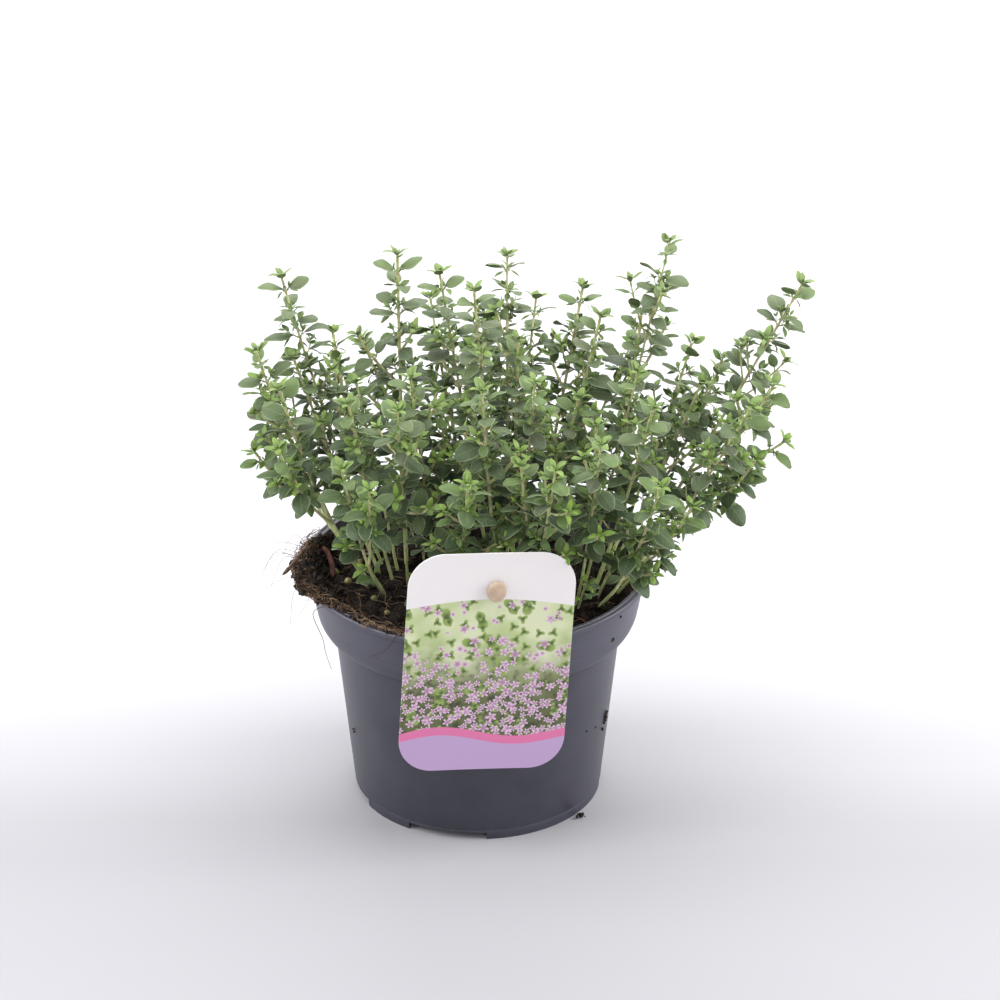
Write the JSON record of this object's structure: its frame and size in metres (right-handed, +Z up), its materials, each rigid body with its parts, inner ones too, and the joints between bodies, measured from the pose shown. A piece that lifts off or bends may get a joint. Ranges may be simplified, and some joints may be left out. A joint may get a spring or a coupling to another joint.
{
  "type": "potted lemon thyme",
  "caption": "Bushy lemon thyme with small paired leaves on thin square stems, in a round dark nursery pot of compost, with a plain hang label held by a bent pin.",
  "frame": {"origin": "middle of the pot's flat base disc, where it rests", "axes": "+Z up through the pot, -Y towards the label's side, +X to the right seen from the label"},
  "size_m": [0.2113, 0.1694, 0.2196],
  "materials": {
    "pot_plastic": "satin dark blue-grey moulded polypropylene, slightly dusty",
    "compost": "matt, crumbly dark peat compost",
    "foliage": "matt grey-green leaves with paler margins and bright yellow-green tips, on pale green to brownish-pink stems",
    "label_print": "satin printed plastic sheet",
    "pin_plastic": "beige moulded plastic",
    "bark": "matt reddish-brown bark",
    "twig_wood": "matt dark twig",
    "fertiliser": "pale yellow-green coated grains"
  },
  "bodies": {
    "root": {"pot": "pot_plastic", "soil": "compost", "shoot_01": "foliage", "shoot_02": "foliage", "shoot_03": "foliage", "shoot_04": "foliage", "shoot_05": "foliage", "shoot_06": "foliage", "shoot_07": "foliage", "shoot_08": "foliage", "shoot_09": "foliage", "shoot_10": "foliage", "shoot_11": "foliage", "shoot_12": "foliage", "shoot_13": "foliage", "shoot_14": "foliage", "shoot_15": "foliage", "shoot_16": "foliage", "shoot_17": "foliage", "shoot_18": "foliage", "shoot_19": "foliage", "shoot_20": "foliage", "shoot_21": "foliage", "shoot_22": "foliage", "shoot_23": "foliage", "shoot_24": "foliage", "shoot_25": "foliage", "shoot_26": "foliage", "shoot_27": "foliage", "shoot_28": "foliage", "shoot_29": "foliage", "shoot_30": "foliage", "shoot_31": "foliage", "shoot_32": "foliage", "shoot_33": "foliage", "shoot_34": "foliage", "shoot_35": "foliage", "shoot_36": "foliage", "shoot_37": "foliage", "shoot_38": "foliage", "shoot_39": "foliage", "shoot_40": "foliage", "label": "label_print", "label_pin": "pin_plastic", "bark_sliver": "bark", "twig": "twig_wood", "bead_1": "fertiliser", "bead_2": "fertiliser", "bead_3": "fertiliser"}
  },
  "joints": []
}
